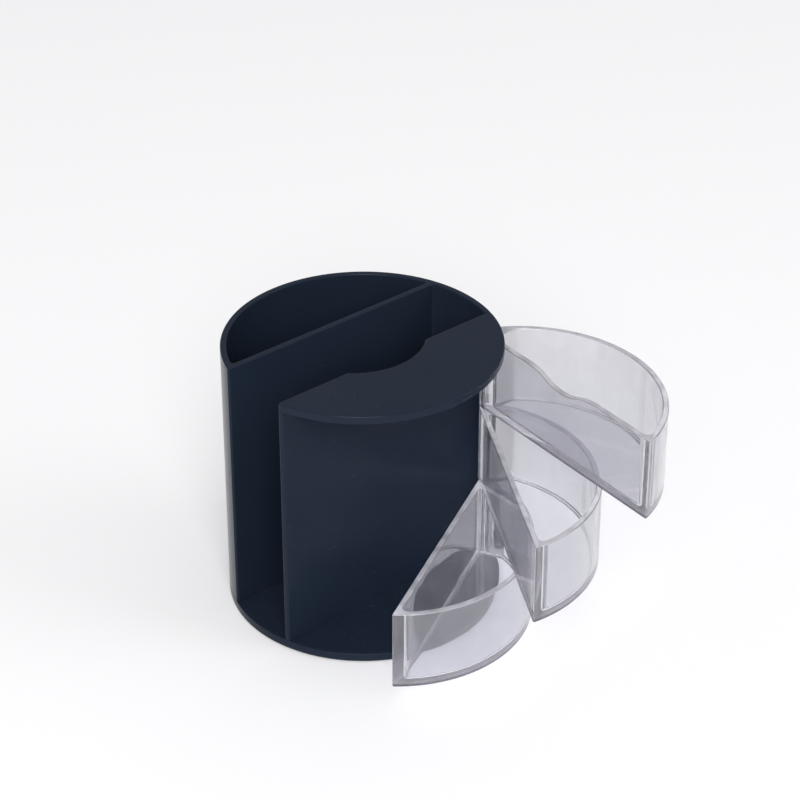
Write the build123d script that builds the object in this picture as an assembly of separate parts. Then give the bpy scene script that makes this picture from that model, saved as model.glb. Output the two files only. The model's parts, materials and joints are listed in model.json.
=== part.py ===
from build123d import *
import os
from math import sqrt

os.makedirs("parts", exist_ok=True)

# Millimetres. The origin is the middle of the face that stands on the desk, +Z is up,
# +X runs along the note slot to its closed end, and the tray bay is in front, on the -Y side.

# Overall sizes
outer_diameter = 94.0
overall_height = 97.5

# Shell: round wall, note slot and pen well
shell_wall = 2.2
slot_offset = 12.5  # from the axis forward to the slot's front face
slot_width = 26.5
partition_wall = 2.0  # between the slot and the tray bay
well_wall = 2.0  # between the slot and the pen well
rim_bevel = 0.5
corner_round = 0.7  # upright corners of the slot's mouth and of the bay

# Base plate and the non-slip pad under it
base_thickness = 3.2
base_bevel = 0.6
pad_thickness = 1.5
pad_recess = 1.0
pad_margin = 1.6  # from the base plate's edge to the pad's recess
pad_gap = 0.2
platform_height = 1.5  # raised floor of the pen well, which centres the shell
platform_gap = 0.2

# Screws that hold the base plate to bosses in the pen well
screw_diameter = 2.9
screw_length = 10.0
screw_head_diameter = 5.6
screw_head_gap = 0.05
screw_margin = 0.5  # from the head to the edge of the pad's recess
screw_clearance = 0.2  # in the base plate
screw_fit = 0.02  # in the boss
screw_end_gap = 0.5
cross_length = 3.2  # cross recess in the head
cross_width = 0.8
cross_depth = 0.9
boss_diameter = 6.6
boss_cap = 2.0  # closed end of a boss, above its hole
boss_rib = 1.6  # rib from a boss to the round wall
boss_angles = (32, 90, 148)

# Cover of the tray bay
cover_thickness = 3.0
cover_tip_round = 0.8
scoop_width = 33.0
scoop_depth = 6.7
scoop_corner = 1.5
notch_depth = 14.0  # finger notch in the partition, below the cover
tongue_width = 0.9  # tongue on the partition that the cover's groove drops over
tongue_height = 1.4
tongue_margin = 3.0
groove_gap = 0.1

# Hinge pin
pin_diameter = 2.0
pin_bevel = 0.3
pin_fit = 0.02  # radial, in the base plate and the cover
pin_play = 0.06  # radial, in the trays
base_socket_depth = 1.6
cover_socket_depth = 1.8

# Trays
tray_inset = 0.7  # the shut trays' round wall lies this far inside the outline
tray_back_gap = 0.4  # shut tray to partition
tray_wall = 2.0
tray_floor = 2.0
tray_floor_bevel = 1.2
tray_rim_bevel = 0.4
tray_end_round = 0.5
barrel_diameter = 5.0
collar_height = 0.5  # each barrel stands this much above its tray's walls
axial_gap = 0.3
hinge_web = 4.5  # from the pin to the web that closes the pocket
pocket_corner = 1.5
dip_width = 33.0
dip_depth = 3.4

# Opening of each tray in the resting pose, in degrees from shut
tray_opening = {"tray_lower": 29.0, "tray_middle": 60.5, "tray_upper": 87.0}

# Heights and places that follow
outer_radius = outer_diameter / 2
inner_radius = outer_radius - shell_wall
base_under = pad_thickness - pad_recess
base_top = base_under + base_thickness
recess_face = base_under + pad_recess
recess_radius = outer_radius - pad_margin
platform_top = base_top + platform_height
cover_under = overall_height - cover_thickness
slot_front = -slot_offset
slot_back = slot_front + slot_width
bay_back = slot_front - partition_wall
well_front = slot_back + well_wall
partition_reach = sqrt(outer_radius**2 - bay_back**2)
scoop_radius = (scoop_width**2 / 4 + scoop_depth**2) / (2 * scoop_depth)
notch_radius = (scoop_width**2 / 4 + notch_depth**2) / (2 * notch_depth)

screw_radius = screw_diameter / 2
head_radius = screw_head_diameter / 2
boss_reach = recess_radius - head_radius - screw_margin
screw_end = recess_face + screw_length

# Each tray's hinge corner is a round about the pin that runs into its straight and round walls
pin_radius = pin_diameter / 2
barrel_radius = barrel_diameter / 2
tray_radius = outer_radius - tray_inset
tray_back = bay_back - tray_back_gap
pin_y = tray_back - barrel_radius
pin_x = sqrt((tray_radius - barrel_radius) ** 2 - pin_y**2)
pin_place = Pos(pin_x, pin_y)
pin_axis = Axis((pin_x, pin_y, 0), (0, 0, 1))
tray_levels = len(tray_opening)
barrel_height = (cover_under - base_top - (tray_levels + 1) * axial_gap) / tray_levels
tray_height = barrel_height - collar_height


def area(x_from, x_to, y_from, y_to):
    middle = Pos((x_from + x_to) / 2, (y_from + y_to) / 2)
    return middle * Rectangle(x_to - x_from, y_to - y_from)


def across(y_from, y_to):
    return area(-outer_radius, outer_radius, y_from, y_to)


def upright(plan, z_from, z_to):
    return Pos(0, 0, z_from) * extrude(plan, z_to - z_from)


def boss_place(angle):
    return Rot(0, 0, angle) * Pos(boss_reach, 0)


def tongue_plan(growth):
    middle = (slot_front + bay_back) / 2
    half = tongue_width / 2 + growth
    inner = scoop_width / 2 + tongue_margin - growth
    outer = partition_reach - shell_wall - tongue_margin + growth
    right = area(inner, outer, middle - half, middle + half)
    return right + mirror(right, Plane.YZ)


def make_body_shell():
    disc = Circle(outer_radius)
    plan = (disc - Circle(inner_radius)) & across(bay_back, outer_radius)
    plan += disc & across(bay_back, slot_front)
    plan += disc & across(slot_back, well_front)
    plan -= area(-outer_radius, 0, slot_front, slot_back)
    on_outline = [v for v in plan.vertices() if abs(Vector(v.X, v.Y).length - outer_radius) < corner_round]
    plan = fillet(on_outline, corner_round)
    shell = upright(plan, base_top, overall_height)

    # the cover sits on the partition, over a tongue, and a finger notch passes under it
    shell -= upright(across(bay_back, slot_front), cover_under, overall_height)
    shell = chamfer(shell.faces().sort_by(Axis.Z)[-1].edges(), rim_bevel)
    shell += upright(tongue_plan(0), cover_under, cover_under + tongue_height)
    notch_centre = cover_under - notch_depth + notch_radius
    notch = Plane.XZ.offset(slot_offset) * Pos(0, notch_centre) * Circle(notch_radius)
    shell -= extrude(notch, partition_wall)

    # screw bosses, low in the pen well, each with a rib to the round wall
    boss_radius = boss_diameter / 2
    rib_length = inner_radius - boss_reach + shell_wall / 2
    boss_plan = Circle(boss_radius) + area(0, rib_length, -boss_rib / 2, boss_rib / 2)
    boss_top = screw_end + screw_end_gap + boss_cap
    for angle in boss_angles:
        shell += upright(boss_place(angle) * boss_plan & disc, platform_top, boss_top)
    for angle in boss_angles:
        hole = boss_place(angle) * Circle(screw_radius + screw_fit)
        shell -= upright(hole, platform_top, screw_end + screw_end_gap)
    return shell


def screw_head(growth):
    wide = head_radius + growth
    narrow = screw_radius + growth
    return Pos(0, 0, recess_face) * Cone(wide, narrow, wide - narrow, align=(Align.CENTER, Align.CENTER, Align.MIN))


def make_base_plate():
    plate = upright(Circle(outer_radius), base_under, base_top)
    plate = chamfer(plate.edges().group_by(Axis.Z)[0], base_bevel)
    platform = Circle(inner_radius - platform_gap) & across(well_front + platform_gap, outer_radius)
    plate += upright(platform, base_top, platform_top)
    plate -= upright(Circle(recess_radius), base_under, recess_face)
    plate -= upright(pin_place * Circle(pin_radius + pin_fit), base_top - base_socket_depth, base_top)
    for angle in boss_angles:
        hole = Circle(screw_radius + screw_clearance)
        plate -= upright(boss_place(angle) * hole, recess_face, platform_top)
        plate -= boss_place(angle) * screw_head(screw_head_gap)
    return plate


def make_base_screws():
    cross = Rectangle(cross_length, cross_width) + Rectangle(cross_width, cross_length)
    screw = screw_head(0) + upright(Circle(screw_radius), recess_face, screw_end)
    screw -= upright(cross, recess_face, recess_face + cross_depth)
    return Compound(children=[boss_place(angle) * screw for angle in boss_angles])


def make_base_pad():
    return upright(Circle(recess_radius - pad_gap), 0, recess_face)


def make_bay_cover():
    scoop_centre = slot_front + scoop_radius - scoop_depth
    plan = Circle(outer_radius) & across(-outer_radius, slot_front)
    tips = plan.vertices()
    plan = fillet(tips, cover_tip_round)
    plan -= Pos(0, scoop_centre) * Circle(scoop_radius)
    scoop_ends = [v for v in plan.vertices() if abs(abs(v.X) - scoop_width / 2) < scoop_corner]
    plan = fillet(scoop_ends, scoop_corner)
    cover = upright(plan, cover_under, overall_height)
    cover = chamfer(cover.edges().group_by(Axis.Z)[-1], rim_bevel)
    cover -= upright(tongue_plan(groove_gap), cover_under, cover_under + tongue_height + groove_gap)
    socket = pin_place * Circle(pin_radius + pin_fit)
    cover -= upright(socket, cover_under, cover_under + cover_socket_depth)
    return cover


def make_hinge_pin():
    pin = upright(pin_place * Circle(pin_radius), base_top - base_socket_depth, cover_under + cover_socket_depth)
    return chamfer(pin.edges().filter_by(GeomType.CIRCLE), pin_bevel)


def dip_plan():
    # two S-curves of equal arcs, which leave the wall's top and meet at the bottom without a corner
    half = dip_width / 2
    arc_radius = (half**2 / 4 + dip_depth**2 / 4) / dip_depth
    left = (-half, 0)
    left_middle = (-half / 2, -dip_depth / 2)
    bottom = (0, -dip_depth)
    right_middle = (half / 2, -dip_depth / 2)
    right = (half, 0)
    edges = [
        RadiusArc(left, left_middle, arc_radius),
        RadiusArc(left_middle, bottom, -arc_radius),
        RadiusArc(bottom, right_middle, -arc_radius),
        RadiusArc(right_middle, right, arc_radius),
        Polyline(right, (half, dip_depth), (-half, dip_depth), left),
    ]
    return make_face(edges)


def make_tray(level, opening, dipped):
    bottom = base_top + axial_gap + level * (barrel_height + axial_gap)
    top = bottom + tray_height

    # half-moon block, its hinge corner rounded about the pin
    plan = Circle(tray_radius) & across(-tray_radius, tray_back)
    plan = fillet(plan.vertices().sort_by(Axis.X)[-1], barrel_radius)
    plan = fillet(plan.vertices().sort_by(Axis.X)[0], tray_end_round)
    tray = upright(plan, bottom, top)

    # pocket, closed by a web before it reaches the pin
    reach = area(-tray_radius, pin_x - hinge_web, -tray_radius, tray_back - tray_wall)
    pocket = Circle(tray_radius - tray_wall) & reach
    pocket = fillet(pocket.vertices(), pocket_corner)
    hollow = upright(pocket, bottom + tray_floor, top)
    tray -= chamfer(hollow.edges().group_by(Axis.Z)[0], tray_floor_bevel)
    if dipped:
        dip = Plane.XZ.offset(-tray_back) * Pos(0, top) * dip_plan()
        tray -= extrude(dip, tray_wall)
    halfway = bottom + tray_height / 2
    rim = tray.edges().filter_by(lambda edge: edge.bounding_box().min.Z > halfway)
    tray = chamfer(rim, tray_rim_bevel)

    # the barrel stands above the walls as a collar, so that only barrels rub on each other
    tray += upright(pin_place * Circle(barrel_radius), bottom, bottom + barrel_height)
    tray -= upright(pin_place * Circle(pin_radius + pin_play), bottom, bottom + barrel_height)
    return tray.rotate(pin_axis, opening)


export_step(make_body_shell(), "parts/body_shell.step")
export_step(make_bay_cover(), "parts/bay_cover.step")
export_step(make_base_plate(), "parts/base_plate.step")
export_step(make_base_screws(), "parts/base_screws.step")
export_step(make_base_pad(), "parts/base_pad.step")
export_step(make_hinge_pin(), "parts/hinge_pin.step")
for level, (name, opening) in enumerate(tray_opening.items()):
    uppermost = level == tray_levels - 1
    export_step(make_tray(level, opening, uppermost), f"parts/{name}.step")
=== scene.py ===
import json
import math
import bpy
from mathutils import Matrix, Vector
from mathutils.geometry import delaunay_2d_cdt


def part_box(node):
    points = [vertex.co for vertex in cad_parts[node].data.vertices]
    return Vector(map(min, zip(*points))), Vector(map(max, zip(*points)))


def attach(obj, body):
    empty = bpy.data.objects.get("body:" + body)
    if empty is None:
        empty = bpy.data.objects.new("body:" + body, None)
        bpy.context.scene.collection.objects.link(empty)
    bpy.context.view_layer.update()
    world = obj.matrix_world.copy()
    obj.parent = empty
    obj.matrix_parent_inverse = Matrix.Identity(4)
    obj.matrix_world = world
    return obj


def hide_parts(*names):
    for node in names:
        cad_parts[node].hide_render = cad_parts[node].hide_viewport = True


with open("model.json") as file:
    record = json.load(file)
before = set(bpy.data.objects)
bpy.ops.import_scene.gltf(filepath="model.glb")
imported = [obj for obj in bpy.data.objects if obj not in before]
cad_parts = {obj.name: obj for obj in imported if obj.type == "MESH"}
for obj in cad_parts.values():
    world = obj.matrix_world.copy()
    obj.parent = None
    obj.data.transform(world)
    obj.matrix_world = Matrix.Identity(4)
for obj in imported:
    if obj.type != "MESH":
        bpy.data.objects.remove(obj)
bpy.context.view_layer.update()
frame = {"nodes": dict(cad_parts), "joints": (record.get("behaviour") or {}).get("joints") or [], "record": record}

joints = {joint["child"]: joint for joint in frame["joints"]}
pinX, pinY, _ = joints["lower_tray"]["pos_m"]
print("frame loaded:", len(frame["nodes"]), "nodes")

# sizes that several pieces share, in metres
holder = {
    "radius": 0.047,
    "top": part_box("bay_cover")[1].z,
    "coverUnder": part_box("bay_cover")[0].z,
    "floor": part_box("body_shell")[0].z,
    "slotFront": -0.0125,
    "slotBack": 0.014,
    "bayBack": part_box("body_shell")[0].y,
    "pinRadius": 0.001,
    "arcStep": 0.0012,  # length of one facet on large rounds
    "arcTurn": 12,  # most degrees that one facet turns
    "tiny": 1e-6,  # points closer than this are one
}


# outlines: closed chains of tangent rounds, joined by straight runs, with the way each point faces
def rounded(rounds, stops=()):
    loop = []
    for centre, radius, start, end in rounds:
        turn = math.radians(end - start)
        count = max(2, math.ceil(abs(end - start) / holder["arcTurn"]),
                    math.ceil(abs(turn) * radius / holder["arcStep"]))
        side = 1 if turn > 0 else -1  # a falling angle is a hollow round
        for k in range(count + 1):
            angle = math.radians(start) + turn * k / count
            face = Vector((math.cos(angle), math.sin(angle)))
            point = Vector(centre) + face * radius
            if not loop or (point - loop[-1][0]).length > holder["tiny"]:
                loop.append((point, face * side))
    if (loop[0][0] - loop[-1][0]).length < holder["tiny"]:
        loop.pop()
    return withStops(loop, stops)


def withStops(loop, stops):
    # extra points where a straight run passes these x places
    result = []
    for (point, face), (after, _) in zip(loop, loop[1:] + loop[:1]):
        result.append((point, face))
        run = after - point
        if abs(run.y) < holder["tiny"] and abs(run.x) > holder["arcStep"]:
            near, far = sorted((point.x, after.x))
            inside = [x for x in stops if near + holder["tiny"] < x < far - holder["tiny"]]
            for x in sorted(inside, reverse=run.x < 0):
                result.append((Vector((x, point.y)), face))
    return result


def hollow(loop):
    return [(point, -face) for point, face in reversed(loop)]


def disc(centre, radius):
    return rounded([(centre, radius, 0, 360)])


def halfMoon(radius, side, corner):
    # the part of a round behind a straight side
    right = (leg(radius - corner, side + corner), side + corner)
    turn = angleOf(*right)
    return rounded([
        ((0, 0), radius, turn, 180 - turn),
        ((-right[0], right[1]), corner, 180 - turn, 270),
        (right, corner, 270, 360 + turn),
    ])


def bar(reach, length, width, corner, turn):
    # a rounded strip that points away from the axis
    out = Matrix.Rotation(math.radians(turn), 2)
    corners = [(reach + length, width / 2, 0), (reach, width / 2, 90), (reach, -width / 2, 180),
               (reach + length, -width / 2, 270)]
    rounds = []
    for x, y, start in corners:
        spot = Vector((x, y)) - Vector((1 if x > reach else -1, 1 if y > 0 else -1)) * corner
        rounds.append((out @ spot, corner, start + turn, start + 90 + turn))
    return rounded(rounds)


def angleOf(x, y):
    return math.degrees(math.atan2(y, x))


def leg(hypotenuse, side):
    return math.sqrt(hypotenuse**2 - side**2)


# profiles, from low to high: how far in from the outline, at what height, and how far the face looks up
def lowerEdge(radius, height, sides=4):
    turns = [-math.pi / 2 * (1 - k / sides) for k in range(sides + 1)]
    return [(radius * (1 - math.cos(a)), height + radius + radius * math.sin(a), a) for a in turns]


def upperEdge(radius, height, sides=4):
    turns = [math.pi / 2 * k / sides for k in range(sides + 1)]
    return [(radius * (1 - math.cos(a)), height - radius + radius * math.sin(a), a) for a in turns]


def floorCove(radius, height, sides=5):
    turns = [math.pi / 2 * (1 - k / sides) for k in range(sides + 1)]
    return [(radius * (math.cos(a) - 1), height + radius - radius * math.sin(a), a) for a in turns]


def ceilingCove(radius, height, sides=3):
    turns = [-math.pi / 2 * k / sides for k in range(sides + 1)]
    return [(radius * (math.cos(a) - 1), height - radius - radius * math.sin(a), a) for a in turns]


class Moulding:
    # one closed mesh, drawn ring by ring, with a true normal at every point
    def __init__(self, sag=None):
        self.points, self.normals, self.faces = [], [], []
        self.sag = sag  # lowers a rim: gives the drop and its slope along x

    def ring(self, loop, inset, height, tilt, rim=False):
        first = len(self.points)
        for point, face in loop:
            spot = point - face * inset
            drop, slope = self.sag(spot) if rim and self.sag else (0, 0)
            up = Vector((slope, 0, 1)).normalized()
            self.points.append(Vector((spot.x, spot.y, height - drop)))
            self.normals.append((face.to_3d() * math.cos(tilt) + up * math.sin(tilt)).normalized())
        return list(range(first, len(self.points)))

    def band(self, lower, upper, closed=True):
        pairs = list(zip(lower, upper))
        for (a, d), (b, c) in zip(pairs, pairs[1:] + pairs[:1] * closed):
            self.faces.append((a, b, c, d))

    def plate(self, spots, normal):
        first = len(self.points)
        self.points += spots
        self.normals += [normal] * len(spots)
        self.faces.append(tuple(range(first, len(self.points))))

    def wall(self, loop, profile, rimAbove=None, closed=True):
        rings = []
        for inset, height, tilt in profile:
            rim = rimAbove is not None and height > rimAbove
            rings.append(self.ring(loop, inset, height, tilt, rim))
        for lower, upper in zip(rings, rings[1:]):
            self.band(lower, upper, closed)
        return rings[0], rings[-1]

    def cap(self, *rings, up=True):
        # fills the first ring and leaves the others open
        index, chains = [], []
        for ring in rings:
            chains.append(list(range(len(index), len(index) + len(ring))))
            index += ring
        flat = [self.points[i].to_2d() for i in index]
        insideWithHoles = 2
        triangles, sources = delaunay_2d_cdt(flat, [], chains, insideWithHoles, holder["tiny"])[2:4]
        for triangle in triangles:
            corners = [index[sources[k][0]] for k in triangle]
            self.faces.append(tuple(corners if up else reversed(corners)))

    def build(self, name, finish, body, slot, *nodes, place=Matrix()):
        mesh = bpy.data.meshes.new(name)
        mesh.from_pydata([place @ point for point in self.points], [], self.faces)
        mesh.polygons.foreach_set("use_smooth", [True] * len(mesh.polygons))
        turn = place.to_3x3()
        mesh.normals_split_custom_set_from_vertices([turn @ normal for normal in self.normals])
        mesh.materials.append(finish)
        piece = bpy.data.objects.new(name, mesh)
        bpy.context.scene.collection.objects.link(piece)
        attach(piece, body)
        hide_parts(*nodes)
        return piece


# shader maths
class Value:
    def __init__(self, finish, socket):
        self.finish = finish
        self.socket = socket

    def maths(self, operation, first, second):
        return self.finish.node("ShaderNodeMath", {"operation": operation}, {0: first, 1: second})

    def __add__(self, other):
        return self.maths("ADD", self, other)

    def __sub__(self, other):
        return self.maths("SUBTRACT", self, other)

    def __rsub__(self, other):
        return self.maths("SUBTRACT", other, self)

    def __mul__(self, other):
        return self.maths("MULTIPLY", self, other)

    __radd__ = __add__
    __rmul__ = __mul__


class Finish:
    def __init__(self, owner):
        self.owner = owner  # a material or the world
        self.tree = owner.node_tree
        self.tree.nodes.clear()

    def node(self, kind, settings=None, sockets=None, output=0):
        made = self.tree.nodes.new(kind)
        for name, setting in (settings or {}).items():
            if name == "stops":
                self.setStops(made.color_ramp, setting)
            else:
                setattr(made, name, setting)
        for name, value in (sockets or {}).items():
            if isinstance(value, Value):
                self.tree.links.new(value.socket, made.inputs[name])
            else:
                made.inputs[name].default_value = value
        return Value(self, made.outputs[output]) if made.outputs else None

    def setStops(self, ramp, stops):
        for element, (place, level) in zip(ramp.elements, stops):
            element.position = place
            element.color = (level, level, level, 1)

    def geometry(self, output):
        return self.node("ShaderNodeNewGeometry", output=output)

    def lightPath(self, output):
        return self.node("ShaderNodeLightPath", output=output)

    def place(self, stretch=(1, 1, 1)):
        spot = self.node("ShaderNodeTexCoord", output="Object")
        return self.node("ShaderNodeMapping", {}, {"Vector": spot, "Scale": stretch})

    def upright(self, vector):
        return self.node("ShaderNodeSeparateXYZ", {}, {"Vector": vector}, "Z")

    def grain(self, spot, size, detail=3.0, roughness=0.55):
        return self.node("ShaderNodeTexNoise", {}, {
            "Vector": spot, "Scale": 1 / size, "Detail": detail, "Roughness": roughness})

    def ramp(self, value, low, high):
        return self.node("ShaderNodeValToRGB", {"stops": ((low, 0), (high, 1))}, {"Fac": value})

    def mix(self, factor, first, second):
        # of a Mix node's sockets, 6 and 7 take the colours and 2 gives their mix
        colours = {"data_type": "RGBA"}
        return self.node("ShaderNodeMix", colours, {0: factor, 6: first, 7: second}, output=2)

    def bump(self, height, depth):
        return self.node("ShaderNodeBump", {}, {"Height": height, "Distance": depth, "Strength": 1.0})

    def surface(self, sockets):
        return self.node("ShaderNodeBsdfPrincipled", {}, sockets)

    def blend(self, factor, first, second):
        return self.node("ShaderNodeMixShader", {}, {0: factor, 1: first, 2: second})

    def output(self, shader):
        self.node("ShaderNodeOutputMaterial", {}, {"Surface": shader})
        return self.owner


def newFinish(name):
    material = bpy.data.materials.new(name)
    material.use_nodes = True
    return Finish(material)


def paint(red, green, blue):
    return (red, green, blue, 1)


# sizes are in metres, and a range says where a mask starts and where it is full
blackPlastic = {
    "colour": paint(0.0115, 0.0185, 0.033),
    "paler": paint(0.0175, 0.025, 0.0415),
    "cloudSize": 0.035,
    "roughness": 0.20,
    "unevenness": 0.10,
    "specular": 0.085,
    "scuffs": 0.14,  # roughness added along fine rub marks
    "scuffSize": 0.003,
    "scuffStretch": (0.3, 0.6, 4),
    "scuffRange": (0.58, 0.72),
    "dust": paint(0.06, 0.065, 0.075),
    "dustCover": 0.4,
    "dustSize": 0.0008,
    "dustRange": (0.66, 0.78),
    "dustFaces": (0.6, 0.95),  # how far up a face looks where dust stays on it
    "peel": 0.000003,  # height of the moulded skin's ripple
    "peelSize": 0.0025,
}


def makeBlackPlastic():
    look = blackPlastic
    finish = newFinish("blackPlastic")
    spot = finish.place()
    cloud = finish.grain(spot, look["cloudSize"], detail=2)
    ripple = finish.grain(spot, look["peelSize"], detail=0)
    rubs = finish.grain(finish.place(look["scuffStretch"]), look["scuffSize"], detail=4, roughness=0.7)
    scuffs = finish.ramp(rubs, *look["scuffRange"])
    specks = finish.ramp(finish.grain(spot, look["dustSize"], detail=1), *look["dustRange"])
    dust = specks * finish.ramp(finish.upright(finish.geometry("Normal")), *look["dustFaces"])
    plastic = finish.mix(cloud, look["colour"], look["paler"])
    roughness = look["roughness"] + (cloud - 0.5) * look["unevenness"]
    return finish.output(finish.surface({
        "Base Color": finish.mix(dust * look["dustCover"], plastic, look["dust"]),
        "Roughness": roughness + scuffs * look["scuffs"],
        "Specular IOR Level": look["specular"],
        "Normal": finish.bump(ripple, look["peel"]),
    }))


clearPlastic = {
    "colour": paint(0.665, 0.667, 0.697),
    "hazed": paint(0.60, 0.602, 0.637),
    "cloudSize": 0.02,
    # painted light: the floor and foot take this paler tint, so they look lit from above
    "floorColour": paint(0.83, 0.83, 0.855),
    "clearness": 0.96,
    "roughness": 0.03,
    "hairlines": 0.08,  # roughness added along fine scratches
    "hairlineSize": 0.004,
    "hairlineStretch": (1, 1, 6),
    "hairlineRange": (0.58, 0.72),
    "ior": 1.59,
    "within": paint(0.96, 0.955, 0.975),
    "milk": paint(0.90, 0.89, 0.94),
    "milkRoughness": 0.6,
    "milkLeast": 0.075,
    "milkPatches": 0.06,  # added where the moulding is cloudy
    "milkFloor": 0.05,  # added in the floor
    "patchSize": 0.006,
    "patchStretch": (1, 1, 0.6),
    "patchRange": (0.3, 0.75),
    "rimFrost": 0.45,  # painted light: white laid on at the rim and, less, at the foot, for light that gathers there
    "rimFaces": (0.3, 0.9),  # how far up a rim's face looks
    "rimHeight": (0.5, 0.6),  # the rim is above this share of a tray's height
    "footFrost": 0.1,
    "footHeight": (0.055, 0.085),  # the floor and foot end at this share of it
    # painted shade: the colour of a dark line along the lowest part of the foot
    "soleColour": paint(0.16, 0.16, 0.19),
    "soleHeight": (0.03, 0.06),  # and the painted shade, a dark line along the foot, at this one
    "shadow": paint(0.86, 0.86, 0.89),
    "flow": 0.00008,  # height of the flow ripples
    "flowSize": 0.009,
    "flowStretch": (1, 1, 0.4),
}


def makeClearPlastic():
    look = clearPlastic
    finish = newFinish("clearPlastic")
    ripple = finish.grain(finish.place(look["flowStretch"]), look["flowSize"], detail=0)
    flow = finish.bump(ripple, look["flow"])
    scratches = finish.grain(finish.place(look["hairlineStretch"]), look["hairlineSize"],
                             detail=5, roughness=0.7)
    hairlines = finish.ramp(scratches, *look["hairlineRange"])
    cloud = finish.grain(finish.place(), look["cloudSize"])
    patches = finish.grain(finish.place(look["patchStretch"]), look["patchSize"], detail=1)
    patches = finish.ramp(patches, *look["patchRange"])
    up = finish.upright(finish.geometry("Normal"))
    height = finish.upright(finish.node("ShaderNodeTexCoord", output="Generated"))
    sideways = 1 - up * up
    foot = 1 - finish.ramp(height, *look["footHeight"])
    rim = finish.ramp(up, *look["rimFaces"]) * finish.ramp(height, *look["rimHeight"])
    # painted shade: a dark line low on the foot's sideways faces
    paintedFootShade = (1 - finish.ramp(height, *look["soleHeight"])) * sideways
    walls = finish.mix(cloud, look["colour"], look["hazed"])
    # painted light: the floor and foot get the paler tint
    walls = finish.mix(foot, walls, look["floorColour"])
    skin = finish.surface({
        "Base Color": finish.mix(paintedFootShade, walls, look["soleColour"]),
        "Roughness": look["roughness"] + hairlines * look["hairlines"],
        "IOR": look["ior"],
        "Transmission Weight": look["clearness"],
        "Normal": flow,
    })
    # a white diffuse: the plastic's own cloudiness inside the walls, and painted light at the rim and foot
    milk = finish.surface({
        "Base Color": look["milk"],
        "Roughness": look["milkRoughness"],
        "Specular IOR Level": 0.0,
    })
    # painted light: white at the rim's upward faces and the foot's sides, patchy where the moulding is cloudy
    paintedEdgeLight = rim * look["rimFrost"] + foot * (1 - paintedFootShade) * sideways * look["footFrost"]
    outside = finish.blend(paintedEdgeLight * (0.5 + patches * 0.5), skin, milk)

    # light inside the walls meets clear plastic with cloudy patches
    glass = finish.surface({
        "Base Color": look["within"],
        "Roughness": look["roughness"],
        "IOR": look["ior"],
        "Transmission Weight": 1.0,
        "Normal": flow,
    })
    cloudy = look["milkLeast"] + patches * look["milkPatches"]
    within = finish.blend(cloudy + foot * look["milkFloor"], glass, milk)
    plastic = finish.blend(finish.geometry("Backfacing"), outside, within)
    through = finish.node("ShaderNodeBsdfTransparent", {}, {"Color": look["shadow"]})
    return finish.output(finish.blend(finish.lightPath("Is Shadow Ray"), plastic, through))


brightSteel = {
    "colour": paint(0.62, 0.62, 0.63),
    "shadow": paint(0.50, 0.50, 0.52),
    "roughness": 0.2,
    "unevenness": 0.15,
    "lines": 0.000004,  # depth of the grinding lines
    "lineSize": 0.002,
    "lineStretch": (0.2, 0.2, 8),
}


def makeBrightSteel():
    look = brightSteel
    finish = newFinish("brightSteel")
    lines = finish.grain(finish.place(look["lineStretch"]), look["lineSize"], detail=4)
    return finish.output(finish.surface({
        "Base Color": finish.mix(lines, look["shadow"], look["colour"]),
        "Metallic": 1.0,
        "Roughness": look["roughness"] + lines * look["unevenness"],
        "Normal": finish.bump(lines, look["lines"]),
    }))


zincSteel = {
    "colour": paint(0.60, 0.61, 0.64),
    "dull": paint(0.40, 0.41, 0.43),
    "roughness": 0.35,
    "unevenness": 0.2,
    "relief": 0.000008,
    "spangleSize": 0.0008,
}


def makeZincSteel():
    look = zincSteel
    finish = newFinish("zincSteel")
    spangle = finish.grain(finish.place(), look["spangleSize"], detail=4)
    return finish.output(finish.surface({
        "Base Color": finish.mix(spangle, look["dull"], look["colour"]),
        "Metallic": 1.0,
        "Roughness": look["roughness"] + spangle * look["unevenness"],
        "Normal": finish.bump(spangle, look["relief"]),
    }))


padRubber = {
    "colour": paint(0.016, 0.016, 0.017),
    "dusty": paint(0.045, 0.044, 0.042),
    "dustSize": 0.01,
    "dustRange": (0.45, 0.8),
    "roughness": 0.72,
    "dustRoughness": 0.15,
    "stipple": 0.00012,  # height of the moulded stipple
    "stippleSize": 0.0011,
}


def makePadRubber():
    look = padRubber
    finish = newFinish("padRubber")
    spot = finish.place()
    stipple = finish.node("ShaderNodeTexVoronoi", {}, {"Vector": spot, "Scale": 1 / look["stippleSize"]})
    dust = finish.ramp(finish.grain(spot, look["dustSize"], detail=5), *look["dustRange"])
    return finish.output(finish.surface({
        "Base Color": finish.mix(dust, look["colour"], look["dusty"]),
        "Roughness": look["roughness"] + dust * look["dustRoughness"],
        "Normal": finish.bump(stipple, look["stipple"]),
    }))


finishes = {
    "black_plastic": makeBlackPlastic(),
    "clear_plastic": makeClearPlastic(),
    "bright_steel": makeBrightSteel(),
    "zinc_steel": makeZincSteel(),
    "pad_rubber": makePadRubber(),
}
slotOf = {part["node"]: part["material_slot"] for part in frame["record"]["subparts"]}
for name, node in frame["nodes"].items():
    node.data.materials.clear()
    node.data.materials.append(finishes[slotOf[name]])
    node.data.polygons.foreach_set("use_smooth", [False] * len(node.data.polygons))
print("finishes made:", len(finishes))


shell = {
    "wall": 0.0022,
    "wellFront": 0.016,  # the well's side of its straight wall
    "rimRound": 0.0006,
    "footRound": 0.0002,
    "cornerRound": 0.0007,
    "slotNook": 0.0006,
    "frontNook": 0.0002,
    "wellNook": 0.001,
    "notchWidth": 0.033,
    "notchDepth": 0.014,
    "notchSteps": 32,
    "bossRadius": 0.0033,
    "bossReach": 0.0421,
    "bossAngles": (32, 90, 148),
    "bossFoot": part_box("base_plate")[1].z,
    "bossTop": 0.014,
    "ribThickness": 0.0016,
    "ribCorner": 0.0002,
}


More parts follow.
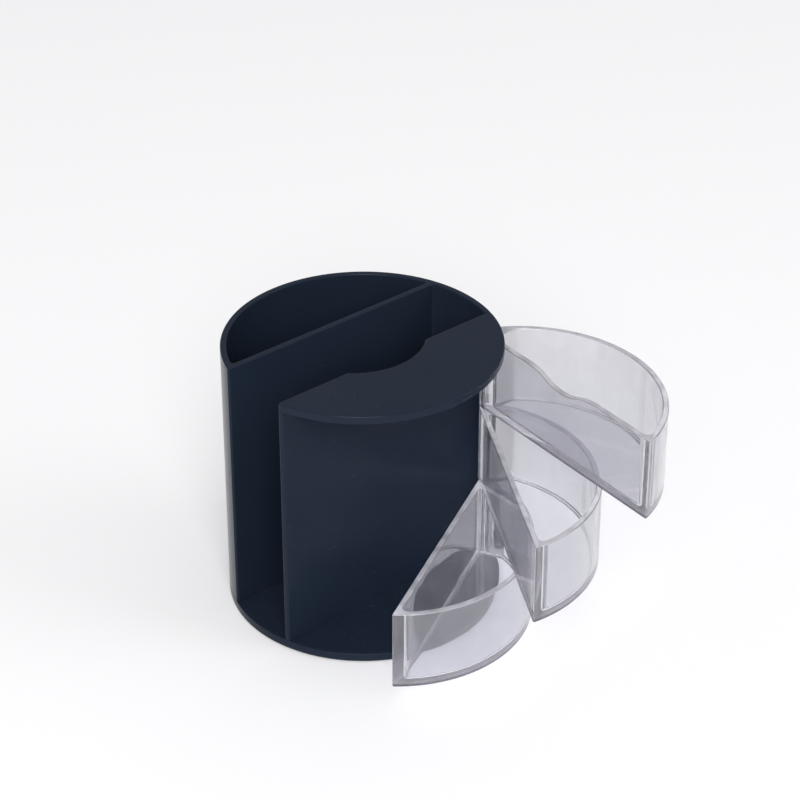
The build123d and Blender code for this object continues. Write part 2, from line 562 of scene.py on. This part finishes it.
def makeBodyShell():
    outer, inner = holder["radius"], holder["radius"] - shell["wall"]
    slotFront, slotBack, bayBack = holder["slotFront"], holder["slotBack"], holder["bayBack"]
    top, seat, foot = holder["top"], holder["coverUnder"], holder["floor"]
    corner, nook, tight = shell["cornerRound"], shell["slotNook"], shell["frontNook"]

    # the finger notch is an arc, so its stops are even steps round that arc
    half = shell["notchWidth"] / 2
    notchRadius = (half**2 + shell["notchDepth"]**2) / (2 * shell["notchDepth"])
    notchRise = notchRadius - shell["notchDepth"]  # from the seat up to the arc's centre
    sweep = math.acos(notchRise / notchRadius)
    count = shell["notchSteps"]
    stops = [notchRadius * math.sin(sweep * (2 * k / count - 1)) for k in range(count + 1)]

    def notch(spot):
        if abs(spot.x) > half:
            return 0, 0
        depth = leg(notchRadius, spot.x)
        return max(0, depth - notchRise), -spot.x / depth

    frontRight = (leg(outer - corner, bayBack + corner), bayBack + corner)
    backLeft = (-leg(outer - corner, slotBack + corner), slotBack + corner)
    slotEnd = (leg(inner - nook, slotBack - nook), slotBack - nook)
    slotEndFront = (leg(inner - tight, slotFront + tight), slotFront + tight)
    leftBack = (-leg(outer - corner, slotFront - corner), slotFront - corner)
    leftFront = (-frontRight[0], frontRight[1])
    step = angleOf(leg(outer, slotFront), slotFront)
    right = rounded([
        (frontRight, corner, -90, angleOf(*frontRight)),
        ((0, 0), outer, angleOf(*frontRight), step),
    ])
    rear = rounded([
        ((0, 0), outer, step, angleOf(*backLeft)),
        (backLeft, corner, angleOf(*backLeft), 270),
        (slotEnd, nook, 90, angleOf(*slotEnd)),
        ((0, 0), inner, angleOf(*slotEnd), angleOf(*slotEndFront)),
    ])
    nookArc = rounded([(slotEndFront, tight, angleOf(*slotEndFront), -90)])
    backRun = [(Vector((x, slotFront)), Vector((0, 1))) for x in reversed(stops)]
    left = rounded([
        (leftBack, corner, 90, 360 + angleOf(*leftBack)),
        ((0, 0), outer, 360 + angleOf(*leftBack), 360 + angleOf(*leftFront)),
        (leftFront, corner, 360 + angleOf(*leftFront), 270),
    ])
    frontRun = [(Vector((x, bayBack)), Vector((0, -1))) for x in stops]
    partition = nookArc + backRun + left + frontRun + right

    # the outline is whole up to the cover's seat; above it only the rear goes on
    mould = Moulding(notch)
    bottom, skirt = mould.wall(rear[:-1] + partition[:-1], lowerEdge(shell["footRound"], foot, 2))
    rearEdge = [(0, seat, 0)] + upperEdge(shell["rimRound"], top, 5)
    shoulder, rim = mould.wall(rear, rearEdge, closed=False)
    mould.band(skirt[:len(rear)], shoulder, closed=False)
    edge = mould.ring(partition, 0, seat, 0, rim=True)
    mould.band(skirt[len(rear) - 1:] + skirt[:1], edge, closed=False)
    ledge = mould.ring(partition, 0, seat, math.pi / 2, rim=True)
    backStart, backEnd = len(nookArc), len(nookArc + backRun)
    frontStart, frontEnd = len(partition) - len(frontRun + right), len(partition) - len(right)
    mould.band(ledge[frontStart:frontEnd], ledge[backEnd - 1:backStart - 1:-1], closed=False)
    mould.cap(ledge[backEnd - 1:frontStart + 1])
    mould.cap(ledge[frontEnd - 1:] + ledge[:backStart + 1])

    # above the seat the rear ends in a flat face, which the cover's tip meets
    sides = []
    for point, face in (rear[0], rear[-1]):
        spots = [(point - face * inset, height) for inset, height, _ in rearEdge]
        sides.append([Vector((spot.x, spot.y, height)) for spot, height in spots])
    mould.plate(sides[0] + sides[1][::-1], Vector((0, -1, 0)))

    well = hollow(halfMoon(inner, shell["wellFront"], shell["wellNook"]))
    wellEdge = lowerEdge(shell["footRound"], foot, 2) + upperEdge(shell["rimRound"], top, 5)
    wellBottom, wellRim = mould.wall(well, wellEdge)
    mould.cap(rim, wellRim)
    mould.cap(bottom, wellBottom, up=False)

    # screw bosses low in the well, each with a rib into the round wall
    reach = shell["bossReach"]
    ribLength = inner + shell["wall"] / 2 - reach
    bossEdge = lowerEdge(shell["footRound"], shell["bossFoot"], 2)
    bossEdge += upperEdge(shell["footRound"], shell["bossTop"], 2)
    for turn in shell["bossAngles"]:
        away = Vector((math.cos(math.radians(turn)), math.sin(math.radians(turn))))
        rib = bar(reach, ribLength, shell["ribThickness"], shell["ribCorner"], turn)
        for loop in (disc(away * reach, shell["bossRadius"]), rib):
            low, high = mould.wall(loop, bossEdge)
            mould.cap(low, up=False)
            mould.cap(high)
    return mould.build("bodyShell", finishes["black_plastic"], "holder", "black_plastic", "body_shell")


makeBodyShell()
print("body shell made")


base = {
    "edgeRound": 0.0003,
    "underRound": 0.0006,
    "recessRadius": 0.0454,
    "recessFace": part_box("base_pad")[1].z,
    "platformGap": 0.0002,
    "platformRound": 0.0003,
    "platformCorner": 0.0008,
    "cove": 0.0002,
}


def makeBasePlate():
    low, high = (corner.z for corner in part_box("base_plate"))
    floor = holder["floor"]
    mould = Moulding()
    rimEdge = lowerEdge(base["underRound"], low) + upperEdge(base["edgeRound"], floor, 3)
    under, edge = mould.wall(disc((0, 0), holder["radius"]), rimEdge)
    recessEdge = lowerEdge(base["cove"], low, 2) + ceilingCove(base["cove"], base["recessFace"])
    mouth, recess = mould.wall(hollow(disc((0, 0), base["recessRadius"])), recessEdge)
    mould.cap(under, mouth, up=False)
    mould.cap(recess, up=False)

    # the platform fits up into the well
    gap = base["platformGap"]
    wellRadius = holder["radius"] - shell["wall"]
    platform = halfMoon(wellRadius - gap, shell["wellFront"] + gap, base["platformCorner"])
    platformEdge = floorCove(base["cove"], floor, 3) + upperEdge(base["platformRound"], high, 3)
    foot, step = mould.wall(platform, platformEdge)
    mould.cap(edge, foot)
    mould.cap(step)
    return mould.build("basePlate", finishes["black_plastic"], "holder", "black_plastic", "base_plate")


makeBasePlate()
print("base plate made")


pad = {
    "radius": 0.0452,
    "underRound": 0.0004,
    "topRound": 0.0002,
}


def makeBasePad():
    low, high = (corner.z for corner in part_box("base_pad"))
    edge = lowerEdge(pad["underRound"], low) + upperEdge(pad["topRound"], high, 2)
    mould = Moulding()
    under, top = mould.wall(disc((0, 0), pad["radius"]), edge)
    mould.cap(under, up=False)
    mould.cap(top)
    return mould.build("basePad", finishes["pad_rubber"], "holder", "pad_rubber", "base_pad")


makeBasePad()
print("base pad made")


pin = {"endRound": 0.0003}


def makeHingePin():
    low, high = (corner.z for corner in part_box("hinge_pin"))
    ends = lowerEdge(pin["endRound"], low) + upperEdge(pin["endRound"], high)
    mould = Moulding()
    bottom, top = mould.wall(disc((pinX, pinY), holder["pinRadius"]), ends)
    mould.cap(bottom, up=False)
    mould.cap(top)
    return mould.build("hingePin", finishes["bright_steel"], "holder", "bright_steel", "hinge_pin")


makeHingePin()
print("hinge pin made")


cover = {
    "tipRound": 0.0008,
    "scoopWidth": 0.033,
    "scoopDepth": 0.0067,
    "scoopCorner": 0.0015,
    "topRound": 0.0006,
    "underRound": 0.0003,
}


def makeBayCover():
    outer, back = holder["radius"], holder["slotFront"]
    tip, corner, half = cover["tipRound"], cover["scoopCorner"], cover["scoopWidth"] / 2
    scoopRadius = (half**2 + cover["scoopDepth"]**2) / (2 * cover["scoopDepth"])
    scoopCentre = back - cover["scoopDepth"] + scoopRadius
    tipSpot = (leg(outer - tip, back - tip), back - tip)
    cornerSpot = (leg(scoopRadius + corner, back - corner - scoopCentre), back - corner)
    tipTurn = angleOf(*tipSpot)
    scoopTurn = angleOf(cornerSpot[0], cornerSpot[1] - scoopCentre)
    loop = rounded([
        ((0, 0), outer, -180 - tipTurn, tipTurn),
        (tipSpot, tip, tipTurn, 90),
        (cornerSpot, corner, 90, 180 + scoopTurn),
        ((0, scoopCentre), scoopRadius, scoopTurn, -180 - scoopTurn),
        ((-cornerSpot[0], cornerSpot[1]), corner, -scoopTurn, 90),
        ((-tipSpot[0], tipSpot[1]), tip, 90, 180 - tipTurn),
    ])
    edge = lowerEdge(cover["underRound"], holder["coverUnder"], 3)
    edge += upperEdge(cover["topRound"], holder["top"], 5)
    mould = Moulding()
    bottom, top = mould.wall(loop, edge)
    mould.cap(bottom, up=False)
    mould.cap(top)
    return mould.build("bayCover", finishes["black_plastic"], "holder", "black_plastic", "bay_cover")


makeBayCover()
print("bay cover made")


tray = {
    "wall": 0.002,
    "floor": 0.002,
    "inset": 0.0007,
    "barrel": 0.0025,
    "endRound": 0.0006,
    "web": 0.0045,  # from the pin to the web that closes the pocket
    "pocketCorner": 0.0018,
    "cove": 0.0014,
    "rimRound": 0.0005,
    "footRound": 0.0005,
    "collarHeight": 0.0005,
    "collarStep": 0.00015,
    "collarRound": 0.00012,
    "play": 0.00006,
    "dipWidth": 0.033,
    "dipDepth": 0.0034,
    "dipSteps": 28,
}


def dipAt(spot):
    # two equal arcs each side of the middle, without a corner at the top or the bottom
    half, depth = tray["dipWidth"] / 2, tray["dipDepth"]
    radius = (half**2 / 4 + depth**2 / 4) / depth
    away = abs(spot.x)
    if away >= half or spot.y < pinY:
        return 0, 0
    side = 1 if spot.x > 0 else -1
    if away > half / 2:
        fromEnd = half - away
        return radius - leg(radius, fromEnd), -side * fromEnd / leg(radius, fromEnd)
    return depth - radius + leg(radius, away), -side * away / leg(radius, away)


def makeTray(level):
    node, body = f"tray_{level}", f"{level}_tray"
    low, high = (corner.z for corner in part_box(node))
    rim = high - tray["collarHeight"]
    opening = math.radians(-joints[body]["range_deg"][0])
    outer = holder["radius"] - tray["inset"]
    inner = outer - tray["wall"]
    back = pinY + tray["barrel"]
    front = back - tray["wall"]
    webX = pinX - tray["web"]
    end, nook = tray["endRound"], tray["pocketCorner"]
    dipped = level == "upper"
    count = tray["dipSteps"]
    stops = [tray["dipWidth"] * (k / count - 0.5) for k in range(count + 1)] if dipped else ()

    endSpot = (-leg(outer - end, back - end), back - end)
    outline = rounded([
        ((pinX, pinY), tray["barrel"], angleOf(pinX, pinY), 90),
        (endSpot, end, 90, 360 + angleOf(*endSpot)),
        ((0, 0), outer, 360 + angleOf(*endSpot), 360 + angleOf(pinX, pinY)),
    ], stops)
    leftNook = (-leg(inner - nook, front - nook), front - nook)
    lowNook = (webX - nook, -leg(inner - nook, webX - nook))
    pocket = hollow(rounded([
        ((webX - nook, front - nook), nook, 0, 90),
        (leftNook, nook, 90, 360 + angleOf(*leftNook)),
        ((0, 0), inner, 360 + angleOf(*leftNook), 360 + angleOf(*lowNook)),
        (lowNook, nook, angleOf(*lowNook), 0),
    ], stops))

    mould = Moulding(dipAt if dipped else None)
    rimStart = rim - 2 * tray["rimRound"]
    rimEdge = upperEdge(tray["rimRound"], rim)
    bottom, top = mould.wall(outline, lowerEdge(tray["footRound"], low) + rimEdge, rimStart)
    floor, mouth = mould.wall(pocket, floorCove(tray["cove"], low + tray["floor"]) + rimEdge, rimStart)
    mould.cap(floor)

    # the barrel's collar stands on the rim, inside its rounded edge
    collar = disc((pinX, pinY), tray["barrel"] - tray["rimRound"] - tray["collarStep"])
    bore = hollow(disc((pinX, pinY), holder["pinRadius"] + tray["play"]))
    crownEdge = upperEdge(tray["collarRound"], high, 2)
    foot, crown = mould.wall(collar, [(0, rim, math.pi / 2)] + crownEdge)
    boreFoot, boreTop = mould.wall(bore, lowerEdge(tray["collarRound"], low, 2) + crownEdge)
    mould.cap(top, mouth, foot)
    mould.cap(crown, boreTop)
    mould.cap(bottom, boreFoot, up=False)

    pinSpot = Vector((pinX, pinY, 0))
    swing = Matrix.Translation(pinSpot) @ Matrix.Rotation(opening, 4, "Z") @ Matrix.Translation(-pinSpot)
    return mould.build(f"{level}Tray", finishes["clear_plastic"], body, "clear_plastic", node, place=swing)


for level in ("lower", "middle", "upper"):
    made = makeTray(level)
    print(level, "tray made:", len(made.data.polygons), "faces")


studio = {
    "floorColour": paint(0.95, 0.95, 0.955),
    "tableColour": paint(0.90, 0.90, 0.905),  # as it lights the holder
    "floorReach": 3.0,
    "floorRoughness": 0.9,
    "floorLift": 0.10,
    "skyColour": paint(0.45, 0.45, 0.46),
    "lampAim": (0, 0, 0.05),
}


def makeFloor():
    reach = studio["floorReach"]
    corners = [(-reach, -reach, 0), (reach, -reach, 0), (reach, reach, 0), (-reach, reach, 0)]
    mesh = bpy.data.meshes.new("floor")
    mesh.from_pydata(corners, [], [(0, 1, 2, 3)])
    finish = newFinish("paleFloor")
    plain = {
        "Base Color": studio["tableColour"],
        "Roughness": studio["floorRoughness"],
        "Specular IOR Level": 0.0,
    }
    lifted = plain | {
        "Base Color": studio["floorColour"],
        "Emission Color": paint(1, 1, 1),
        "Emission Strength": studio["floorLift"],
    }

    # the lifted floor is what the camera, reflections and clear plastic show
    seen = finish.lightPath("Is Camera Ray") + finish.lightPath("Is Glossy Ray")
    seen = seen + finish.lightPath("Is Transmission Ray")
    mesh.materials.append(finish.output(finish.blend(seen, finish.surface(plain), finish.surface(lifted))))
    floor = bpy.data.objects.new("floor", mesh)
    bpy.context.scene.collection.objects.link(floor)


def makeWorld():
    world = bpy.data.worlds.new("studio")
    bpy.context.scene.world = world
    world.use_nodes = True
    sky = Finish(world)
    light = sky.node("ShaderNodeBackground", {}, {"Color": studio["skyColour"]})
    sky.node("ShaderNodeOutputWorld", {}, {"Surface": light})


lamps = {
    "key": {"place": (-1.9, -2.1, 2.3), "size": 2.2, "power": 96},
    "fill": {"place": (2.0, -2.4, 1.8), "size": 2.2, "power": 20},
}


def makeLamps():
    for name, lamp in lamps.items():
        light = bpy.data.lights.new(name, "AREA")
        light.shape = "DISK"
        light.size = lamp["size"]
        light.energy = lamp["power"]
        lampObject = bpy.data.objects.new(name, light)
        bpy.context.scene.collection.objects.link(lampObject)
        place = Vector(lamp["place"])
        lampObject.location = place
        lampObject.rotation_mode = "QUATERNION"
        lampObject.rotation_quaternion = (Vector(studio["lampAim"]) - place).to_track_quat("-Z", "Y")


camera = {
    "azimuth": -40.09,
    "elevation": 32.08,
    "distance": 0.8768,
    "aim": (0.0169, 0.00082, 0.06711),
    "lens": 116.1,
    "sensor": 36,
    "nearest": 0.01,
}


def makeCamera():
    data = bpy.data.cameras.new("camera")
    data.lens = camera["lens"]
    data.sensor_width = camera["sensor"]
    data.clip_start = camera["nearest"]
    eye = bpy.data.objects.new("camera", data)
    bpy.context.scene.collection.objects.link(eye)
    around, up = math.radians(camera["azimuth"]), math.radians(camera["elevation"])
    back = Vector((math.sin(around) * math.cos(up), -math.cos(around) * math.cos(up), math.sin(up)))
    eye.location = Vector(camera["aim"]) + back * camera["distance"]
    eye.rotation_mode = "QUATERNION"
    eye.rotation_quaternion = (-back).to_track_quat("-Z", "Y")
    bpy.context.scene.camera = eye


makeFloor()
makeWorld()
makeLamps()
makeCamera()
bpy.context.scene.view_settings.view_transform = "Standard"
print("studio made")
